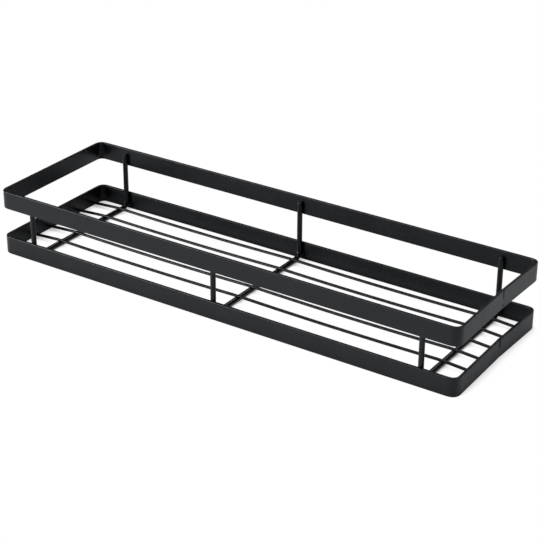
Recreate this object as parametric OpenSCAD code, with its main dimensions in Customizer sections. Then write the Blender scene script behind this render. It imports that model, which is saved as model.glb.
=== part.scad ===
// Wall spice rack: two flat-band hoops held apart by three bent cross wires,
// with six thin base wires laid over the cross wires. All lengths are in mm.
// The origin is the middle of the footprint, X runs along the rack, the wall is
// on the +Y side and Z is up.

/* [Rack] */
// length of the rack over both short ends
rack_w = 400; // [320:1:480]
// depth of the rack from the front face to the wall face
rack_d = 123; // [100:1:150]
// height of the rack over both hoops
rack_h = 53; // [44:1:70]

/* [Flat bands] */
// height of the flat steel band that both hoops are bent from
band_h = 14.5; // [10:0.5:18]
// thickness of the flat steel band
band_t = 2; // [1.2:0.1:3]
// outside radius of a hoop's four corners
corner_r = 6.5; // [4:0.5:11]

/* [Butt weld of each hoop] */
// where the two ends of a band meet, measured along Y on the right short side
seam_y = 5; // [-25:1:25]
// how far the band ends are drawn inwards where they meet
seam_dip = 1.2; // [0.4:0.1:2.5]
// width of the groove left along the weld
seam_groove_w = 0.9; // [0.5:0.1:1.6]
// depth of that groove in the outer face
seam_groove_d = 0.4; // [0.2:0.05:0.8]
// height of the unfilled notch at the band's upper and lower edge
seam_notch_h = 0.6; // [0.3:0.1:1.2]

/* [Cross wires] */
// diameter of the three U-shaped cross wires
cross_wire_d = 3.8; // [3:0.1:5]
// inside radius of the bend between cross bar and leg
cross_bend_r = 4; // [2.5:0.5:7]
// distance from a short end of the rack to the outer cross wire
end_bay = 29; // [20:1:60]
// distance from the upper hoop's top edge down to the end of a leg
leg_top_gap = 4; // [1:0.5:8]
// bevel around the cut end of a leg
leg_bevel = 0.5; // [0.2:0.1:0.9]

/* [Base wires] */
// diameter of the six long base wires
base_wire_d = 2; // [1.6:0.1:3]
// distance from the long bands' inner faces to the nearest base wires
base_margin = 13.25; // [10:0.25:20]
// sag of a base wire halfway between two cross wires
base_sag = 0.9; // [0.3:0.1:1.4]
// drop of a base wire from the outer cross wire to the short end
base_end_drop = 1.8; // [0.8:0.1:2.4]

/* [Welds] */
// how deep a round wire is set into the piece it is welded to
weld_set = 0.2; // [0.1:0.05:0.4]

/* [Hidden] */

// how far a cutting or trimmed shape runs on past the face it meets
past = 1;

// inner faces of the long and short bands
inner_y = rack_d / 2 - band_t;
inner_x = rack_w / 2 - band_t;

// cross wires: the bars lie level with the lower hoop's bottom edge
cross_x = rack_w / 2 - end_bay;
bar_z = cross_wire_d / 2;
bend_path_r = cross_bend_r + cross_wire_d / 2;
leg_y = inner_y - cross_wire_d / 2 + weld_set;
leg_top_z = rack_h - leg_top_gap;

// base wires: equal pitch between the two margins
base_count = 6;
base_pitch = 2 * (inner_y - base_margin) / (base_count - 1);
base_z = cross_wire_d + base_wire_d / 2 - weld_set;

// a base wire is drawn as short straight pieces with a ball at each bend
span_steps = 6;
bend_swell = 0.02;

// height of a base wire over its supports, at the share u of the way between two
function sag_at(u) = -4 * base_sag * u * (1 - u);

// bend number i of a base wire, counted from the left cross wire
function bend_at(i) =
    let (span = i > span_steps ? 1 : 0, u = i / span_steps - span)
    [(span + u - 1) * cross_x, sag_at(u)];

// both ends run on past the inner faces of the short bands and are trimmed there
end_run = inner_x - cross_x;
end_at = [inner_x + past, -base_end_drop * (end_run + past) / end_run];
run = [
    [-end_at[0], end_at[1]],
    for (i = [0:2 * span_steps]) bend_at(i),
    end_at
];

band_colour = "#2c2d2f";
wire_colour = "#262729";
round_fn = 48;

// plan outline of a hoop, moved in from its outer face, with the drawn-in seam
module hoop_plan(inset) {
    half_w = rack_w / 2 - inset;
    half_d = rack_d / 2 - inset;
    r = corner_r - inset;
    straight_y = rack_d / 2 - corner_r;
    difference() {
        union() {
            square([2 * half_w, 2 * (half_d - r)], center = true);
            square([2 * (half_w - r), 2 * half_d], center = true);
            for (sx = [-1, 1])
                for (sy = [-1, 1])
                    translate([sx * (half_w - r), sy * (half_d - r)])
                        circle(r = r, $fn = 4 * round_fn);
        }
        polygon([
            [half_w, -straight_y],
            [half_w - seam_dip, seam_y],
            [half_w, straight_y],
            [half_w + past, straight_y],
            [half_w + past, -straight_y]
        ]);
    }
}

// groove down the outer face and a notch at each edge, where the weld did not fill
module seam_cut() {
    face_x = rack_w / 2 - seam_dip;
    translate([face_x, seam_y, -past])
        linear_extrude(height = band_h + 2 * past)
            polygon([
                [-seam_groove_d, 0],
                [past, -seam_groove_w / 2 * (1 + past / seam_groove_d)],
                [past, seam_groove_w / 2 * (1 + past / seam_groove_d)]
            ]);
    for (z = [-past, band_h - seam_notch_h])
        translate([face_x - band_t - past, seam_y - seam_groove_w / 4, z])
            cube([band_t + 2 * past, seam_groove_w / 2, seam_notch_h + past]);
}

// one closed hoop of flat band standing on its edge
module hoop() {
    difference() {
        linear_extrude(height = band_h)
            difference() {
                hoop_plan(0);
                hoop_plan(band_t);
            }
        seam_cut();
    }
}

module lower_hoop() {
    color(band_colour) hoop();
}

module upper_hoop() {
    color(band_colour) translate([0, 0, rack_h - band_h]) hoop();
}

// straight level bar of a cross wire
module cross_bar() {
    bar_half = leg_y - bend_path_r;
    translate([0, -bar_half, bar_z])
        rotate([-90, 0, 0])
            cylinder(d = cross_wire_d, h = 2 * bar_half, $fn = round_fn);
}

// bend, leg and bevelled end on the +Y side of a cross wire
module leg() {
    bend_top_z = bar_z + bend_path_r;
    straight_top_z = leg_top_z - leg_bevel;
    translate([0, leg_y - bend_path_r, bend_top_z])
        rotate([90, 0, 90])
            rotate([0, 0, -90])
                rotate_extrude(angle = 90, $fn = 2 * round_fn)
                    translate([bend_path_r, 0])
                        circle(d = cross_wire_d, $fn = round_fn);
    translate([0, leg_y, bend_top_z])
        cylinder(d = cross_wire_d, h = straight_top_z - bend_top_z, $fn = round_fn);
    translate([0, leg_y, straight_top_z])
        cylinder(d1 = cross_wire_d, d2 = cross_wire_d - 2 * leg_bevel, h = leg_bevel, $fn = round_fn);
}

// the two long bands' space at the legs, which flattens each leg where it is welded
module band_space() {
    for (z = [0, rack_h - band_h])
        translate([-cross_wire_d, inner_y, z])
            cube([2 * cross_wire_d, band_t, band_h]);
}

// U-shaped cross wire, its legs seated against the inner faces of both hoops
module cross_wire() {
    difference() {
        union() {
            cross_bar();
            leg();
            mirror([0, 1, 0]) leg();
        }
        band_space();
        mirror([0, 1, 0]) band_space();
    }
}

module cross_wire_left() {
    color(wire_colour) translate([-cross_x, 0, 0]) cross_wire();
}

module cross_wire_centre() {
    color(wire_colour) cross_wire();
}

module cross_wire_right() {
    color(wire_colour) translate([cross_x, 0, 0]) cross_wire();
}

// straight piece of base wire between two points of its run
module wire_piece(from, to) {
    translate([from[0], 0, from[1]])
        rotate([0, atan2(to[0] - from[0], to[1] - from[1]), 0])
            cylinder(d = base_wire_d, h = norm(to - from), $fn = round_fn);
}

// whole base wire, sagging between the cross wires and falling towards both ends;
// each ball at a bend has its poles along the wire, inside the two straight pieces
module wire_run() {
    for (i = [1:len(run) - 1])
        wire_piece(run[i - 1], run[i]);
    for (i = [1:len(run) - 2])
        translate([run[i][0], 0, run[i][1]])
            rotate([0, 90, 0])
                sphere(d = base_wire_d + bend_swell, $fn = round_fn);
}

// base wire number k, counted from the wall side: trimmed to the lower hoop's
// inner faces and seated on the cross wires
module base_wire(k) {
    y = (base_count + 1 - 2 * k) / 2 * base_pitch;
    color(wire_colour) difference() {
        intersection() {
            translate([0, y, base_z]) wire_run();
            linear_extrude(height = band_h) hoop_plan(band_t);
        }
        for (x = [-cross_x, 0, cross_x])
            translate([x, 0, 0]) cross_bar();
    }
}

module base_wire_1() {
    base_wire(1);
}

module base_wire_2() {
    base_wire(2);
}

module base_wire_3() {
    base_wire(3);
}

module base_wire_4() {
    base_wire(4);
}

module base_wire_5() {
    base_wire(5);
}

module base_wire_6() {
    base_wire(6);
}

lower_hoop();
upper_hoop();
cross_wire_left();
cross_wire_centre();
cross_wire_right();
base_wire_1();
base_wire_2();
base_wire_3();
base_wire_4();
base_wire_5();
base_wire_6();
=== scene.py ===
# %% [markdown]
# # A wall spice rack in black powder-coated steel
#
# The rack is two hoops of flat steel band, three U-shaped cross wires and six thin
# base wires. A workshop bends the band and the wire, welds the lot together, and then
# coats it black in one go. The cells below follow that order. Each piece is swept along
# the line that the bending machine would follow, the welds are squeezed in between,
# and the coat and the studio come last.
#
# The frame that is loaded first holds every piece at its true size and place, so no
# size is guessed twice: the sizes are read from it.

# %% Load the frame
import math

import bmesh
import bpy
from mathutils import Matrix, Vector, noise


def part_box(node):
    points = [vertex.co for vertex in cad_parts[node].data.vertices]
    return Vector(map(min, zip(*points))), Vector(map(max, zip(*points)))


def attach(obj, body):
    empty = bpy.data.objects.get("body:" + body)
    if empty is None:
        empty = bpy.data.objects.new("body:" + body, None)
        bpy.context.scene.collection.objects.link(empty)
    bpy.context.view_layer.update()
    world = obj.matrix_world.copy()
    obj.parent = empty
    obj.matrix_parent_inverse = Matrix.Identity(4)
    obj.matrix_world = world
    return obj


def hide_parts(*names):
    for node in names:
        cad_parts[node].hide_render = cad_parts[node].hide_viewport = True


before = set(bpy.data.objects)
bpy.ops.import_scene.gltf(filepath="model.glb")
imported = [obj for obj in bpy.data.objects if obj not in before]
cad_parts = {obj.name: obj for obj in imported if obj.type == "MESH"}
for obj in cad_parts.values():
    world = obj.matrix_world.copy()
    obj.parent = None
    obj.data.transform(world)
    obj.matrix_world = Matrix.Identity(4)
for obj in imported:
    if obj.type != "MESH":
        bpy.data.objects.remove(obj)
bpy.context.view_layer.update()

# %% [markdown]
# ## Sizes
#
# A swept piece needs three things: a line to follow, a section and its ends. The
# frame gives the reach of each piece, and most sizes follow from differences between
# two reaches. The thickness of the band, for instance, is how far the end of a base
# wire stays behind the outer face of the hoop that it is welded into. Only the sizes
# that no reach can show, such as radii, are written down here.
#
# The coat lies about 0.1 mm thick on a wire. It is drawn 0.15 mm thick, because a thin
# dark line in a picture loses width to the white around it.

# %% Read the sizes
MM = 0.001

lower_low, lower_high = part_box("lower_hoop")
upper_low, upper_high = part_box("upper_hoop")
cross_low, cross_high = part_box("cross_wire_centre")
wire_low, wire_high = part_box("base_wire_1")

half_w = upper_high.x
half_d = upper_high.y
band_h = lower_high.z - lower_low.z
band_t = wire_low.x - lower_low.x
inner_x = half_w - band_t
inner_y = half_d - band_t

bare_cross_r = (cross_high.x - cross_low.x) / 2
bare_wire_r = (wire_high.y - wire_low.y) / 2
leg_y = cross_high.y - bare_cross_r
leg_top_z = cross_high.z

wire_coat_t = 0.15 * MM
cross_r = bare_cross_r + wire_coat_t
wire_r = bare_wire_r + wire_coat_t

corner_r = 6.5 * MM
strip_edge_r = 0.5 * MM
cross_bend_r = 4 * MM + cross_r

print(f"band {band_h / MM:.1f} x {band_t / MM:.1f} mm")
print(f"coated wires {2 * cross_r / MM:.1f} and {2 * wire_r / MM:.1f} mm")

# %% [markdown]
# ## Skinning a run of rings
#
# Every piece here is long and has the same section all along, so one helper makes
# them all. It takes rings of points, all with the same count, and lays a strip of
# quads between each ring and the next. The run is either closed, as a hoop is, or it
# has two ends, which get a flat cap each. Curve objects with a bevel could do this
# too, but rings can be flattened, grooved and notched point by point, which the welds
# need. Faces that meet at a small angle are shaded as one soft surface.

# %% Make a piece from rings
SMOOTH_DEGREES = 35


def skin(name, rings, closed):
    """A mesh object laid over a run of rings, each a list of as many points."""
    bm = bmesh.new()
    grid = [[bm.verts.new(point) for point in ring] for ring in rings]
    count = len(grid[0])
    for i in range(len(grid) if closed else len(grid) - 1):
        here, there = grid[i], grid[(i + 1) % len(grid)]
        for j in range(count):
            k = (j + 1) % count
            bm.faces.new((here[j], here[k], there[k], there[j]))
    if not closed:
        bm.faces.new(list(reversed(grid[0])))
        bm.faces.new(grid[-1])
    bmesh.ops.recalc_face_normals(bm, faces=bm.faces)
    mesh = bpy.data.meshes.new(name)
    bm.to_mesh(mesh)
    bm.free()
    mesh.shade_smooth()
    mesh.set_sharp_from_angle(angle=math.radians(SMOOTH_DEGREES))
    piece = bpy.data.objects.new(name, mesh)
    bpy.context.scene.collection.objects.link(piece)
    return piece


print("edges stay sharp from", SMOOTH_DEGREES, "degrees")

# %% [markdown]
# ## The line that a hoop follows
#
# A strip that is bent on a machine doesn't go from straight to round at one point.
# Its curvature builds up, peaks in the middle of the bend and fades again, and that
# soft start is what makes the light roll over the corner. The bend is therefore a
# quarter turn whose heading follows a smooth step. It is scaled until its middle
# lies as deep in the corner as a plain arc of the hoop's corner radius would.

# %% Trace one bend
BEND_STEPS = 32


def slow_step(share):
    """0 to 1 with a very soft start and end."""
    return share ** 3 * (10 - 15 * share + 6 * share * share)


def bend_line():
    """Points and headings of a quarter turn from +X to +Y, and its tangent length."""
    points, headings = [Vector((0, 0))], [0.0]
    for i in range(BEND_STEPS):
        heading = math.pi / 2 * slow_step((i + 0.5) / BEND_STEPS)
        points.append(points[-1] + Vector((math.cos(heading), math.sin(heading))))
        headings.append(math.pi / 2 * slow_step((i + 1) / BEND_STEPS))
    tangent = points[-1].x
    depth = (points[BEND_STEPS // 2] - Vector((tangent, 0))).length
    scale = corner_r * (math.sqrt(2) - 1) / depth
    return [p * scale for p in points], headings, tangent * scale


bend_points, bend_headings, bend_reach = bend_line()
print(f"bend reaches {bend_reach / MM:.2f} mm from the corner")

# %% [markdown]
# The two ends of a band meet in the right short side, a little behind its middle, and
# the weld has drawn them inwards. The line starts and ends there. Its stations are
# close together around the weld, where the surface changes fast, and wide apart on
# the straights, where they only carry a slow waviness of the strip.

# %% Lay out the stations of a hoop
FEWEST_STEPS = 2
seam_y = 5 * MM
seam_dip = 1.2 * MM
seam_reach = 2.4 * MM
seam_step = 0.12 * MM
straight_step = 6 * MM


def drawn_in(y):
    """How far the weld pulls the right short side inwards at this y."""
    end_y = math.copysign(half_d - corner_r, y - seam_y)
    return seam_dip * max(0.0, 1 - (y - seam_y) / (end_y - seam_y))


def straight_run(start, end):
    """Evenly spaced points after start and before end."""
    steps = max(FEWEST_STEPS, round((end - start).length / straight_step))
    return [start.lerp(end, i / steps) for i in range(1, steps)]


def hoop_outline():
    """Points round a hoop's outer face from seam to seam, each with its turn so far."""
    seam_steps = round(seam_reach / seam_step)
    line = []
    for i in range(seam_steps + 1):
        line.append((Vector((half_w, seam_y + i * seam_step)), 0.0))
    turns = (
        (Vector((half_w, half_d)), 0.0),
        (Vector((-half_w, half_d)), math.pi / 2),
        (Vector((-half_w, -half_d)), math.pi),
        (Vector((half_w, -half_d)), math.pi * 3 / 2),
    )
    for corner, turned in turns:
        forward = Vector((-math.sin(turned), math.cos(turned)))
        inward = Vector((-math.cos(turned), -math.sin(turned)))
        bend_start = corner - forward * bend_reach
        line += [(p, turned) for p in straight_run(line[-1][0], bend_start)]
        for p, heading in zip(bend_points, bend_headings):
            line.append((bend_start + forward * p.x + inward * p.y, turned + heading))
    seam_end = Vector((half_w, seam_y - seam_reach))
    line += [(p, math.tau) for p in straight_run(line[-1][0], seam_end)]
    for i in range(seam_steps, 0, -1):
        line.append((Vector((half_w, seam_y - i * seam_step)), math.tau))
    return line


def hoop_line():
    """Stations round a hoop: (point, outward normal, distance from the seam)."""
    stations = []
    for point, turned in hoop_outline():
        on_seam_side = point.x > half_w - corner_r and abs(point.y) < half_d - corner_r
        shift = drawn_in(point.y) if on_seam_side else 0.0
        off_seam = point.y - seam_y if on_seam_side else half_w
        normal = Vector((math.cos(turned), math.sin(turned)))
        stations.append((point - Vector((shift, 0)), normal, off_seam))
    return stations


hoop_stations = hoop_line()
print("stations round a hoop:", len(hoop_stations))

# %% [markdown]
# ## The section of the band
#
# Flat bar comes off the rolls with its edges a little round. A sharp box section
# would have no bright line along its rim, and it would look cut from card, so the
# section is a rounded rectangle. Its tall sides are split into rows, which gives the
# weld groove points to work on.

# %% Draw the strip's section
EDGE_STEPS = 5
EDGE_ROWS = 2
SIDE_ROWS = 24


def on_rounding(depth, height, angle):
    """The point at this angle on the rounding of one of the strip's edges."""
    return depth + strip_edge_r * math.cos(angle), height + strip_edge_r * math.sin(angle)


def strip_section():
    """(depth behind the outer face, height) round the section, over the top edge first."""
    roundings = (
        (strip_edge_r, band_h - strip_edge_r, math.pi),
        (band_t - strip_edge_r, band_h - strip_edge_r, math.pi / 2),
        (band_t - strip_edge_r, strip_edge_r, 0.0),
        (strip_edge_r, strip_edge_r, -math.pi / 2),
    )
    section = []
    for i, (depth, height, start) in enumerate(roundings):
        for step in range(EDGE_STEPS + 1):
            angle = start - math.pi / 2 * step / EDGE_STEPS
            section.append(on_rounding(depth, height, angle))
        begin = section[-1]
        end = on_rounding(*roundings[(i + 1) % len(roundings)])
        rows = EDGE_ROWS if i % 2 == 0 else SIDE_ROWS
        for row in range(1, rows):
            share = row / rows
            section.append(tuple(b + (e - b) * share for b, e in zip(begin, end)))
    return section


band_section = strip_section()
print("points round the section:", len(band_section))

# %% [markdown]
# ## The butt weld
#
# The two ends were melted together from outside, and each hoop shows in its own way
# where the weld did not fill. On the upper hoop a slit starts a little below the
# middle and deepens towards the top, and a small pit is left near the lower edge. On
# the lower hoop a groove gets both deeper and wider towards the top. It runs out in a
# notch 1.5 mm deep, which is wider on the near side. The upper hoop's notch is small.
# Both notches all but fade away towards the inner face, so no light falls through.
# The lower edge has a shallow notch too, and on the inner face a low ridge of metal
# has come through. Each form is a bell curve across the weld, so the surface stays
# smooth.

# %% Shape the weld
groove_w = 0.5 * MM
upper_groove_depth = 1.0 * MM
lower_groove_depth = 1.3 * MM
groove_flare = 0.4
pit_height = 2.6 * MM
pit_radius = 0.5 * MM
pit_depth = 1.3 * MM

# where a groove starts and over which rise it gets its full depth, as shares of the
# band's height
upper_groove_start = 0.4
upper_groove_rise = 0.45
lower_groove_start = 0.35
lower_groove_rise = 0.6


def smooth_step(share):
    """0 to 1 with a soft start and a soft end."""
    share = min(1.0, max(0.0, share))
    return share * share * (3 - 2 * share)


def bell(offset, width):
    """1 at the middle, fading to 0 within about two widths."""
    return math.exp(-((offset / width) ** 2))


def upper_groove(off_seam, height):
    """Depth of the slit, and of the pit below it, on the upper hoop."""
    opening = smooth_step((height / band_h - upper_groove_start) / upper_groove_rise)
    slit = upper_groove_depth * opening * bell(off_seam, groove_w)
    pit = pit_depth * bell(height - pit_height, pit_radius) * bell(off_seam, pit_radius)
    return slit + pit


def lower_groove(off_seam, height):
    """Depth of the groove on the lower hoop, wider and deeper towards the top."""
    opening = smooth_step((height / band_h - lower_groove_start) / lower_groove_rise)
    width = groove_w * (1 + groove_flare * opening)
    return lower_groove_depth * opening * bell(off_seam, width)


for weld_name, groove in (("upper", upper_groove), ("lower", lower_groove)):
    print(f"{weld_name} groove at the top edge: {groove(0.0, band_h) / MM:.1f} mm")

# %% [markdown]
# ## The hoops
#
# A hoop is the section swept along its stations, with the weld cut into it. Strip is
# never quite straight either. It waves in and out by a twentieth of a millimetre over
# some centimetres, which is enough to make a long reflection swim. The wave only
# leads inwards, so the hoop stays inside the frame's box. Weighted normals keep the
# flat sides flat beside their rounded edges.

# %% Sweep the hoops
# depth of a notch in the upper edge, its width on the near side and on the far side
upper_notch = (0.5 * MM, 0.5 * MM, 0.5 * MM)
lower_notch = (1.5 * MM, 0.9 * MM, 0.5 * MM)
notch_fade = 3.5 * MM
notch_thinning = 0.85
lower_edge_notch = 0.4 * MM
ridge_w = 0.9 * MM
ridge_height = 0.18 * MM
wave_depth = 0.05 * MM
wave_length = 70 * MM


def hoop_piece(name, node, bottom_z, groove, notch, wave_seed):
    """One hoop. The wave seed picks the part of the noise that bends its strip."""
    notch_depth, near_w, far_w = notch
    rings = []
    for point, normal, off_seam in hoop_stations:
        wave_at = Vector((point.x, point.y, wave_seed)) / wave_length
        wave = wave_depth * (0.5 + 0.5 * noise.noise(wave_at))
        notch_w = near_w if off_seam < 0 else far_w
        ring = []
        for depth, height in band_section:
            through = depth / band_t
            cut = groove(off_seam, height) * (1 - through)
            ridge = ridge_height * bell(off_seam, ridge_w) * through
            depth += cut + ridge
            sink = notch_depth * bell(off_seam, notch_w) * (1 - notch_thinning * through)
            height -= sink * max(0.0, 1 - (band_h - height) / notch_fade)
            lift = lower_edge_notch * bell(off_seam, groove_w)
            height += lift * max(0.0, 1 - height / notch_fade)
            flat = point - normal * (depth + wave)
            ring.append((flat.x, flat.y, bottom_z + height))
        rings.append(ring)
    hoop = skin(name, rings, closed=True)
    weighted = hoop.modifiers.new("flat faces stay flat", "WEIGHTED_NORMAL")
    weighted.keep_sharp = True
    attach(hoop, "root")
    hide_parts(node)
    return hoop


lower_hoop = hoop_piece(
    "lower_band", "lower_hoop", lower_low.z, lower_groove, lower_notch, wave_seed=0.31)
upper_hoop = hoop_piece(
    "upper_band", "upper_hoop", upper_low.z, upper_groove, upper_notch, wave_seed=0.77)
hoops = [lower_hoop, upper_hoop]
print("faces in a hoop:", len(upper_hoop.data.polygons))

# %% [markdown]
# ## The cross wires
#
# A cross wire is a length of round wire, bent twice. It is a circle swept down a leg,
# round the bend, along the bar and up again. Its two halves mirror each other, so the
# line is only laid out from the middle of the bar to the top of the rear leg. It has
# extra stations where the leg passes the two inner edges of the bands, because its
# surface changes there.

# %% Lay out half a cross wire
WIRE_SIDES = 32
WIRE_BEND_STEPS = 14
crop_depth = 0.9 * MM
press_fade = 0.4 * MM


def wire_ring(centre, across, up, radius):
    """A circle of points round centre, in the plane of the two unit vectors."""
    turns = [math.tau * i / WIRE_SIDES for i in range(WIRE_SIDES)]
    return [centre + (across * math.cos(a) + up * math.sin(a)) * radius for a in turns]


def half_cross_wire_line():
    """(centre, heading in the YZ plane) from the bar's middle up the rear leg."""
    bar_end = leg_y - cross_bend_r
    line = [(Vector((0, y, cross_r)), 0.0) for y in (0, bar_end / 2, bar_end)]
    for i in range(1, WIRE_BEND_STEPS + 1):
        turn = math.pi / 2 * i / WIRE_BEND_STEPS
        y = bar_end + cross_bend_r * math.sin(turn)
        z = cross_r + cross_bend_r * (1 - math.cos(turn))
        line.append((Vector((0, y, z)), turn))
    for edge_z in (band_h, upper_low.z):
        for z in (edge_z - press_fade, edge_z, edge_z + press_fade):
            line.append((Vector((0, leg_y, z)), math.pi / 2))
    line.append((Vector((0, leg_y, leg_top_z - crop_depth)), math.pi / 2))
    return line


print("stations along half a cross wire:", len(half_cross_wire_line()))

# %% [markdown]
# The wire is cropped at both ends, which leaves a slightly domed end with a rolled
# edge. Where a leg stands against a band, the weld has pressed it flat by a fifth of
# a millimetre, so every point that would lie in the band is moved back to the band's
# face.

# %% Sweep the cross wires
# the rolled edge of a cropped end: share of the wire's radius, share of the crop depth
CROP_SHARES = ((0.98, 0.2), (0.93, 0.45), (0.84, 0.7), (0.73, 0.88), (0.58, 0.97), (0.4, 1.0))


def middle(node):
    """The middle of a node's box, as its x and its y."""
    low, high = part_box(node)
    return (low.x + high.x) / 2, (low.y + high.y) / 2


def pressed_flat(point):
    """The point, moved back to a band's inner face if it lies in the band."""
    in_band = point.z < band_h or point.z > upper_low.z
    if in_band and abs(point.y) > inner_y:
        point.y = math.copysign(inner_y, point.y)
    return point


def cross_wire_piece(name, node):
    """One cross wire: the rear half, and the front half mirrored from it."""
    x = middle(node)[0]
    rear = []
    for centre, turn in half_cross_wire_line():
        up = Vector((0, -math.sin(turn), math.cos(turn)))
        rear.append(wire_ring(centre, Vector((1, 0, 0)), up, cross_r))
    for share, rise in CROP_SHARES:
        centre = Vector((0, leg_y, leg_top_z - crop_depth * (1 - rise)))
        rear.append(wire_ring(centre, Vector((1, 0, 0)), Vector((0, -1, 0)), cross_r * share))
    # the ring in the middle of the bar belongs to both halves and is used once
    front = [[Vector((p.x, -p.y, p.z)) for p in ring] for ring in rear[1:]]
    rings = list(reversed(front)) + rear
    rings = [[pressed_flat(p) + Vector((x, 0, 0)) for p in ring] for ring in rings]
    wire = skin(name, rings, closed=False)
    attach(wire, "root")
    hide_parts(node)
    return wire


cross_wires = [
    cross_wire_piece("left_cross_wire", "cross_wire_left"),
    cross_wire_piece("centre_cross_wire", "cross_wire_centre"),
    cross_wire_piece("right_cross_wire", "cross_wire_right"),
]
print("cross wires:", [w.name for w in cross_wires])

# %% [markdown]
# ## The base wires
#
# The thin wires rest on the three bars, in saddles that the welding pressed a fifth
# of a millimetre deep, and were pulled down to the short bands when their ends were
# welded. Between two bars they hang by less than a millimetre. One formula gives the
# height along a wire, and a short running mean rounds off the change of slope over
# each bar, because a wire doesn't kink.

# %% Sweep the base wires
base_sag = 0.9 * MM
end_drop = 1.8 * MM
saddle_depth = 0.2 * MM
cross_x = middle("cross_wire_right")[0]
base_z = 2 * bare_cross_r + bare_wire_r - saddle_depth
ease_reach = 4 * MM
ease_samples = 5
wire_step = 5 * MM
end_sink = 0.1 * MM


def resting_height(x):
    """Height of a wire's centre at x, with a kink over each bar."""
    x = abs(x)
    if x <= cross_x:
        share = x / cross_x
        return base_z - 4 * base_sag * share * (1 - share)
    return base_z - end_drop * (x - cross_x) / (inner_x - cross_x)


def eased_height(x):
    """The resting height, averaged over a short reach on both sides."""
    offsets = [ease_reach * i / ease_samples for i in range(-ease_samples, ease_samples + 1)]
    return sum(resting_height(x + offset) for offset in offsets) / len(offsets)


def base_wire_piece(name, node):
    """One base wire, its ends sunk a little into the short bands."""
    y = middle(node)[1]
    left_end = -inner_x - end_sink
    right_end = inner_x - drawn_in(y) + end_sink
    steps = round((right_end - left_end) / wire_step)
    rings = []
    for i in range(steps + 1):
        x = left_end + (right_end - left_end) * i / steps
        centre = Vector((x, y, eased_height(x)))
        rings.append(wire_ring(centre, Vector((0, 1, 0)), Vector((0, 0, 1)), wire_r))
    wire = skin(name, rings, closed=False)
    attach(wire, "root")
    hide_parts(node)
    return wire


base_nodes = sorted(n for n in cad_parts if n.startswith("base_wire_"))
base_wires = [base_wire_piece("long_" + n, n) for n in base_nodes]
print("base wires:", len(base_wires))

# %% [markdown]
# ## The spot welds
#
# Where two wires cross, the welder squeezes them together between electrodes, and a
# little softened steel is pushed out around the contact. It freezes as a small
# pillow, and the coat rounds it off. The pillow is a ball, flattened along the line
# of squeeze, with a slow noise on its radius so that no two are the same. All
# pillows of one kind are one mesh.

# %% Form a pillow of weld metal
PILLOW_RINGS = 10
PILLOW_SIDES = 20
pillow_noise = 0.16
pillow_noise_size = 0.9 * MM


def add_pillow(bm, centre, reach):
    """A flattened, slightly uneven ball of weld metal round centre."""
    def on_ball(tilt, turn):
        level = math.sin(tilt)
        way = Vector((level * math.cos(turn), level * math.sin(turn), math.cos(tilt)))
        place = centre + Vector(w * r for w, r in zip(way, reach))
        swell = 1 + pillow_noise * noise.noise(place / pillow_noise_size)
        return centre + Vector(w * r * swell for w, r in zip(way, reach))

    top = bm.verts.new(on_ball(0.0, 0.0))
    bottom = bm.verts.new(on_ball(math.pi, 0.0))
    turns = [math.tau * j / PILLOW_SIDES for j in range(PILLOW_SIDES)]
    grid = []
    for i in range(1, PILLOW_RINGS):
        tilt = math.pi * i / PILLOW_RINGS
        grid.append([bm.verts.new(on_ball(tilt, turn)) for turn in turns])
    for j in range(PILLOW_SIDES):
        k = (j + 1) % PILLOW_SIDES
        bm.faces.new((top, grid[0][j], grid[0][k]))
        bm.faces.new((bottom, grid[-1][k], grid[-1][j]))
        for here, there in zip(grid, grid[1:]):
            bm.faces.new((here[j], there[j], there[k], here[k]))


def weld_piece(name, places, reach):
    """All welds of one kind. The reach is half a pillow's size along X, Y and Z."""
    bm = bmesh.new()
    for place in places:
        add_pillow(bm, place, reach)
    mesh = bpy.data.meshes.new(name)
    bm.to_mesh(mesh)
    bm.free()
    mesh.shade_smooth()
    piece = bpy.data.objects.new(name, mesh)
    bpy.context.scene.collection.objects.link(piece)
    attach(piece, "root")
    return piece


print("faces in a pillow:", PILLOW_RINGS * PILLOW_SIDES)

# %% [markdown]
# Three kinds of weld hold the rack together. A low round pillow fills each crossing
# of two wires, a collar sits round each end of a base wire, and a tall narrow one
# fills the gap beside a leg at each band. The welder doesn't hit the middle of a band
# every time, so the lower ones sit a little above it and the upper ones a little
# below.

# %% Squeeze out the welds
crossing_reach = (1.45 * MM, 1.3 * MM, 0.5 * MM)
crossing_sink = 0.15 * MM
end_reach = (0.45 * MM, 1.4 * MM, 1.3 * MM)
leg_reach = (1.5 * MM, 0.4 * MM, 2.6 * MM)
lower_weld_share = 0.62
upper_weld_share = 0.4

bar_places = [-cross_x, 0.0, cross_x]
wire_places = [middle(n)[1] for n in base_nodes]
crossing_z = 2 * cross_r - crossing_sink
crossing_places = [Vector((x, y, crossing_z)) for x in bar_places for y in wire_places]
crossing_welds = weld_piece("crossing_welds", crossing_places, crossing_reach)

end_z = eased_height(inner_x)
left_ends = [Vector((-inner_x, y, end_z)) for y in wire_places]
right_ends = [Vector((inner_x - drawn_in(y), y, end_z)) for y in wire_places]
end_welds = weld_piece("wire_end_welds", left_ends + right_ends, end_reach)

leg_sides = (-inner_y, inner_y)
leg_heights = (band_h * lower_weld_share, upper_low.z + band_h * upper_weld_share)
leg_places = [Vector((x, y, z)) for x in bar_places for y in leg_sides for z in leg_heights]
leg_welds = weld_piece("leg_welds", leg_places, leg_reach)
welds = [crossing_welds, end_welds, leg_welds]
print("welds:", len(crossing_places), len(left_ends) + len(right_ends), len(leg_places))

# %% [markdown]
# ## Colours and nodes
#
# Colours are written as they would be picked from a screen, in sRGB hex, and turned
# to the linear light that the renderer works in by one function. A second small
# function adds a shader node with its settings and links.

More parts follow.
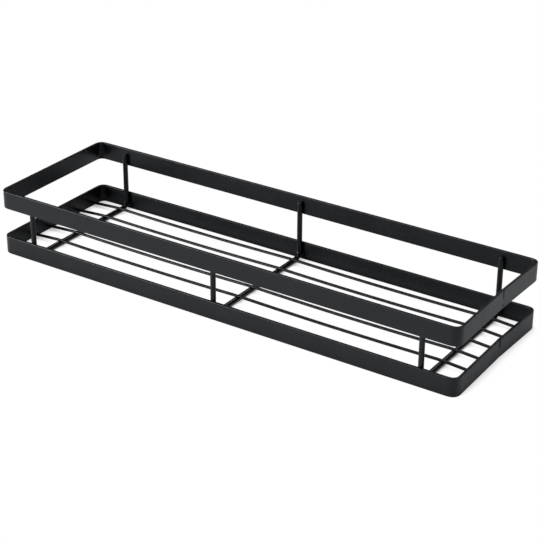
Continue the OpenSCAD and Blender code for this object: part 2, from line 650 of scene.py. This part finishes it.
# %% Helpers for materials
def linear(hex_colour):
    """An sRGB hex colour as linear RGBA."""
    rgba = []
    for i in (1, 3, 5):
        part = int(hex_colour[i:i + 2], 16) / 255
        rgba.append(part / 12.92 if part <= 0.04045 else ((part + 0.055) / 1.055) ** 2.4)
    return (*rgba, 1.0)


def add_node(tree, kind, settings=None, inputs=None):
    """A new node. An input is either a value or the output socket that feeds it."""
    node = tree.nodes.new(kind)
    for name, value in (settings or {}).items():
        setattr(node, name, value)
    for name, value in (inputs or {}).items():
        if isinstance(value, bpy.types.NodeSocket):
            tree.links.new(value, node.inputs[name])
        else:
            node.inputs[name].default_value = value
    return node


def new_material(name):
    """A material with an empty node tree."""
    material = bpy.data.materials.new(name)
    material.use_nodes = True
    material.node_tree.nodes.clear()
    return material


print("mid grey #808080 as linear light:", round(linear("#808080")[0], 3))

# %% [markdown]
# ## Black powder coat
#
# The coat is polyester powder, blown on dry and melted in an oven. Molten powder
# flows, but not quite flat: it sets in shallow swells one to two millimetres wide,
# called orange peel, and its matting agent leaves a fine grain. The eye reads the
# first as soft wobble in the reflections and the second as satin instead of gloss.
# The pigment is carbon black, seen under cool light as a black with a trace of blue,
# so nearly all the light that comes back is a blurred reflection, and the roughness
# matters more than the colour. Broad patches are a shade paler and rougher, where
# jars and hands have scuffed it.
#
# A satin coat has a roughness of 0.3 to 0.4. Polyester has an IOR of about 1.5, but
# with it the faces come out too pale under these lamps, so it is taken down to 1.34,
# where their greys match.
#
# The grain is about 0.1 mm, finer than a pixel here, so it is drawn 0.5 mm wide.

# %% Mix the coat
carbon_black = "#0a0b0e"
scuffed_black = "#0d0e11"
coat_ior = 1.34
band_roughness = 0.35
wire_roughness = 0.33
sheen_spread = 0.03
# the patch noise changes the sheen between these two of its values
patch_low = 0.3
patch_high = 0.7
peel_size = 1.6 * MM
peel_height = 0.012 * MM
grain_size = 0.5 * MM
grain_height = 0.003 * MM
patch_size = 22 * MM


def powder_coat(name, roughness):
    """Satin black powder coat. Its sheen varies a little round the roughness."""
    material = new_material(name)
    tree = material.node_tree
    place = add_node(tree, "ShaderNodeTexCoord").outputs["Object"]
    patches = add_node(tree, "ShaderNodeTexNoise", inputs={
        "Vector": place, "Scale": 1 / patch_size, "Detail": 3.0, "Roughness": 0.55,
    })
    peel = add_node(tree, "ShaderNodeTexNoise", inputs={
        "Vector": place, "Scale": 1 / peel_size, "Detail": 1.0, "Roughness": 0.4,
    })
    grain = add_node(tree, "ShaderNodeTexNoise", inputs={
        "Vector": place, "Scale": 1 / grain_size, "Detail": 2.0, "Roughness": 0.6,
    })
    tint = add_node(tree, "ShaderNodeMix", {"data_type": "RGBA"}, {
        "Factor": patches.outputs["Fac"],
        "A": linear(carbon_black), "B": linear(scuffed_black),
    })
    sheen = add_node(tree, "ShaderNodeMapRange", inputs={
        "Value": patches.outputs["Fac"], "From Min": patch_low, "From Max": patch_high,
        "To Min": roughness - sheen_spread, "To Max": roughness + sheen_spread,
    })
    swells = add_node(tree, "ShaderNodeBump", inputs={
        "Height": peel.outputs["Fac"], "Strength": 1.0, "Distance": peel_height,
    })
    relief = add_node(tree, "ShaderNodeBump", inputs={
        "Height": grain.outputs["Fac"], "Strength": 1.0, "Distance": grain_height,
        "Normal": swells.outputs["Normal"],
    })
    coat = add_node(tree, "ShaderNodeBsdfPrincipled", inputs={
        "Base Color": tint.outputs["Result"], "Metallic": 0.0, "IOR": coat_ior,
        "Roughness": sheen.outputs["Result"], "Normal": relief.outputs["Normal"],
    })
    add_node(tree, "ShaderNodeOutputMaterial", inputs={"Surface": coat.outputs["BSDF"]})
    return material


band_coat = powder_coat("powder-coated flat steel", band_roughness)
wire_coat = powder_coat("powder-coated steel wire", wire_roughness)
for piece in hoops:
    piece.data.materials.append(band_coat)
for piece in cross_wires + base_wires + welds:
    piece.data.materials.append(wire_coat)
print("materials:", band_coat.name, "and", wire_coat.name)

# %% [markdown]
# ## Floor
#
# The rack stands on a matt white table, wide enough to fill every view, and the
# exposure burns it out to plain white. Each kind of ray gets what it should see.
#
# - The camera sees plain white with a painted shadow. Ambient occlusion, not the lamps,
#   darkens the white where the rack closes the table off, over a short reach, with its
#   half dome of rays leaning towards the low light, so the painted shade falls to the
#   other side.
# - A reflection, or a glass, sees the lit table with its colour raised a little, so
#   that it is burnt out there too.
# - All other rays see plain white paint, so the light that the table throws back on
#   the rack is no more than a real one gives.

# %% Lay the floor
floor_reach = 12.0
floor_corners = ((-1, -1), (1, -1), (1, 1), (-1, 1))

floor_bm = bmesh.new()
floor_bm.faces.new([
    floor_bm.verts.new((x * floor_reach, y * floor_reach, 0)) for x, y in floor_corners
])
floor_mesh = bpy.data.meshes.new("floor")
floor_bm.to_mesh(floor_mesh)
floor_bm.free()
floor = bpy.data.objects.new("floor", floor_mesh)
bpy.context.scene.collection.objects.link(floor)
print("floor sides:", 2 * floor_reach, "m")

# %% Paint the floor
floor_white = 0.8
floor_reflected = 1.1
# reach, lean and levels of the painted shadow in the floor's white that the camera sees
shadow_reach = 30 * MM
shadow_lean = 25
shadow_azimuth = 240
openness_black = 0.05
openness_white = 0.60
openness_samples = 32

floor_paint = new_material("matt white table")
tree = floor_paint.node_tree
path = add_node(tree, "ShaderNodeLightPath")
in_gloss_or_glass = add_node(tree, "ShaderNodeMath", {"operation": "MAXIMUM"}, {
    0: path.outputs["Is Glossy Ray"], 1: path.outputs["Is Transmission Ray"],
})
paint = add_node(tree, "ShaderNodeMix", {"data_type": "RGBA"}, {
    "Factor": in_gloss_or_glass.outputs[0],
    "A": (floor_white, floor_white, floor_white, 1.0),
    "B": (floor_reflected, floor_reflected, floor_reflected, 1.0),
})
matt = add_node(tree, "ShaderNodeBsdfDiffuse", inputs={"Color": paint.outputs["Result"]})
lean, turn = math.radians(shadow_lean), math.radians(shadow_azimuth)
towards_light = add_node(tree, "ShaderNodeCombineXYZ", inputs={
    "X": math.cos(turn) * math.sin(lean),
    "Y": math.sin(turn) * math.sin(lean),
    "Z": math.cos(lean),
})
openness = add_node(tree, "ShaderNodeAmbientOcclusion", {"samples": openness_samples}, {
    "Distance": shadow_reach, "Normal": towards_light.outputs["Vector"],
})
# painted shadow: the occlusion, not the lamps, sets how bright the emitted white is
painted_shade_level = add_node(tree, "ShaderNodeMapRange", inputs={
    "Value": openness.outputs["AO"], "From Min": openness_black, "From Max": openness_white,
})
white_with_painted_shade = add_node(tree, "ShaderNodeEmission", inputs={"Strength": painted_shade_level.outputs["Result"]})
floor_look = add_node(tree, "ShaderNodeMixShader", inputs={
    0: path.outputs["Is Camera Ray"], 1: matt.outputs["BSDF"], 2: white_with_painted_shade.outputs["Emission"],
})
add_node(tree, "ShaderNodeOutputMaterial", inputs={"Surface": floor_look.outputs["Shader"]})
floor_mesh.materials.append(floor_paint)
print("floor paint:", floor_paint.name)

# %% [markdown]
# ## Light
#
# Four lamps light the rack, all far away and soft, so the light is the same all over
# the floor. The low one at the front left lifts the front faces. The small one at the
# rear draws a narrow light line along the wires and rims. The high one at the rear
# left gives their tops a broader sheen, and the overhead one lights the floor evenly,
# which the coat then reflects.

# %% Set the lights
light_colour = (0.94, 0.965, 1.0)


def soft_light(name, azimuth, elevation, width, strength):
    """A broad distant light. Azimuth 0 is +X and 90 is +Y, in degrees."""
    lamp = bpy.data.lights.new(name, "SUN")
    lamp.angle = math.radians(width)
    lamp.energy = strength
    lamp.color = light_colour
    light = bpy.data.objects.new(name, lamp)
    turn, rise = math.radians(azimuth), math.radians(elevation)
    level = math.cos(rise)
    towards = Vector((math.cos(turn) * level, math.sin(turn) * level, math.sin(rise)))
    light.rotation_mode = "QUATERNION"
    light.rotation_quaternion = towards.to_track_quat("Z", "Y")
    bpy.context.scene.collection.objects.link(light)
    return light


lights = [
    soft_light("low front left light", azimuth=225, elevation=9, width=30, strength=5.28),
    soft_light("small rear light", azimuth=97, elevation=42, width=12, strength=0.36),
    soft_light("high rear left light", azimuth=120, elevation=66, width=50, strength=0.45),
    soft_light("overhead light", azimuth=0, elevation=88, width=60, strength=1.22),
]
print("lights:", [light.name for light in lights])

# %% [markdown]
# Around them the room is dark. The table's white runs on into a sweep, which rises
# four degrees above the horizon and fades out over the next two. Only reflections
# and glass see it, as a pale band low in the coat. The camera sees plain white past
# the floor's edge, and no other ray gets light from the room.

# %% Build the room
sweep_top_degrees = 4
sweep_top = math.sin(math.radians(sweep_top_degrees))
sweep_fade = 0.04

world = bpy.data.worlds.new("white sweep in a dark room")
world.use_nodes = True
tree = world.node_tree
tree.nodes.clear()
path = add_node(tree, "ShaderNodeLightPath")
direction = add_node(tree, "ShaderNodeSeparateXYZ", inputs={
    "Vector": add_node(tree, "ShaderNodeTexCoord").outputs["Generated"],
})
sweep = add_node(tree, "ShaderNodeMapRange", inputs={
    "Value": direction.outputs["Z"], "From Min": sweep_top, "From Max": sweep_top + sweep_fade,
    "To Min": 1.0, "To Max": 0.0,
})
in_gloss_or_glass = add_node(tree, "ShaderNodeMath", {"operation": "MAXIMUM"}, {
    0: path.outputs["Is Glossy Ray"], 1: path.outputs["Is Transmission Ray"],
})
sweep_in_gloss = add_node(tree, "ShaderNodeMath", {"operation": "MULTIPLY"}, {
    0: in_gloss_or_glass.outputs[0], 1: sweep.outputs["Result"],
})
white_share = add_node(tree, "ShaderNodeMath", {"operation": "MAXIMUM"}, {
    0: path.outputs["Is Camera Ray"], 1: sweep_in_gloss.outputs[0],
})
backdrop = add_node(tree, "ShaderNodeBackground", inputs={
    "Color": (1.0, 1.0, 1.0, 1.0), "Strength": white_share.outputs[0],
})
add_node(tree, "ShaderNodeOutputWorld", inputs={"Surface": backdrop.outputs["Background"]})
bpy.context.scene.world = world
print("room:", world.name)

# %% [markdown]
# ## Camera
#
# The camera's place was worked out from the rack itself: the edges of both hoops are
# straight lines of known length, and only one place and one lens project them all
# onto the lines in the picture. The small shift says that the picture was cropped
# off centre.

# %% Place the camera
picture_px = 540
focal_px = 1605.5
camera_azimuth = 34.04
camera_elevation = 26.02
camera_distance = 1199.0 * MM
aim = Vector((0, 0, 30 * MM))
centre_right_px = -12.06
centre_down_px = -18.65

camera_data = bpy.data.cameras.new("camera")
camera_data.sensor_width = 36.0
camera_data.lens = camera_data.sensor_width * focal_px / picture_px
camera_data.shift_x = -centre_right_px / picture_px
camera_data.shift_y = centre_down_px / picture_px
camera = bpy.data.objects.new("camera", camera_data)
bpy.context.scene.collection.objects.link(camera)
turn, rise = math.radians(camera_azimuth), math.radians(camera_elevation)
level = math.cos(rise)
back = Vector((math.sin(turn) * level, -math.cos(turn) * level, math.sin(rise)))
camera.location = aim + back * camera_distance
camera.rotation_mode = "QUATERNION"
camera.rotation_quaternion = back.to_track_quat("Z", "Y")
bpy.context.scene.camera = camera
bpy.context.scene.view_settings.view_transform = "Standard"
print("camera at", [round(v, 3) for v in camera.location])
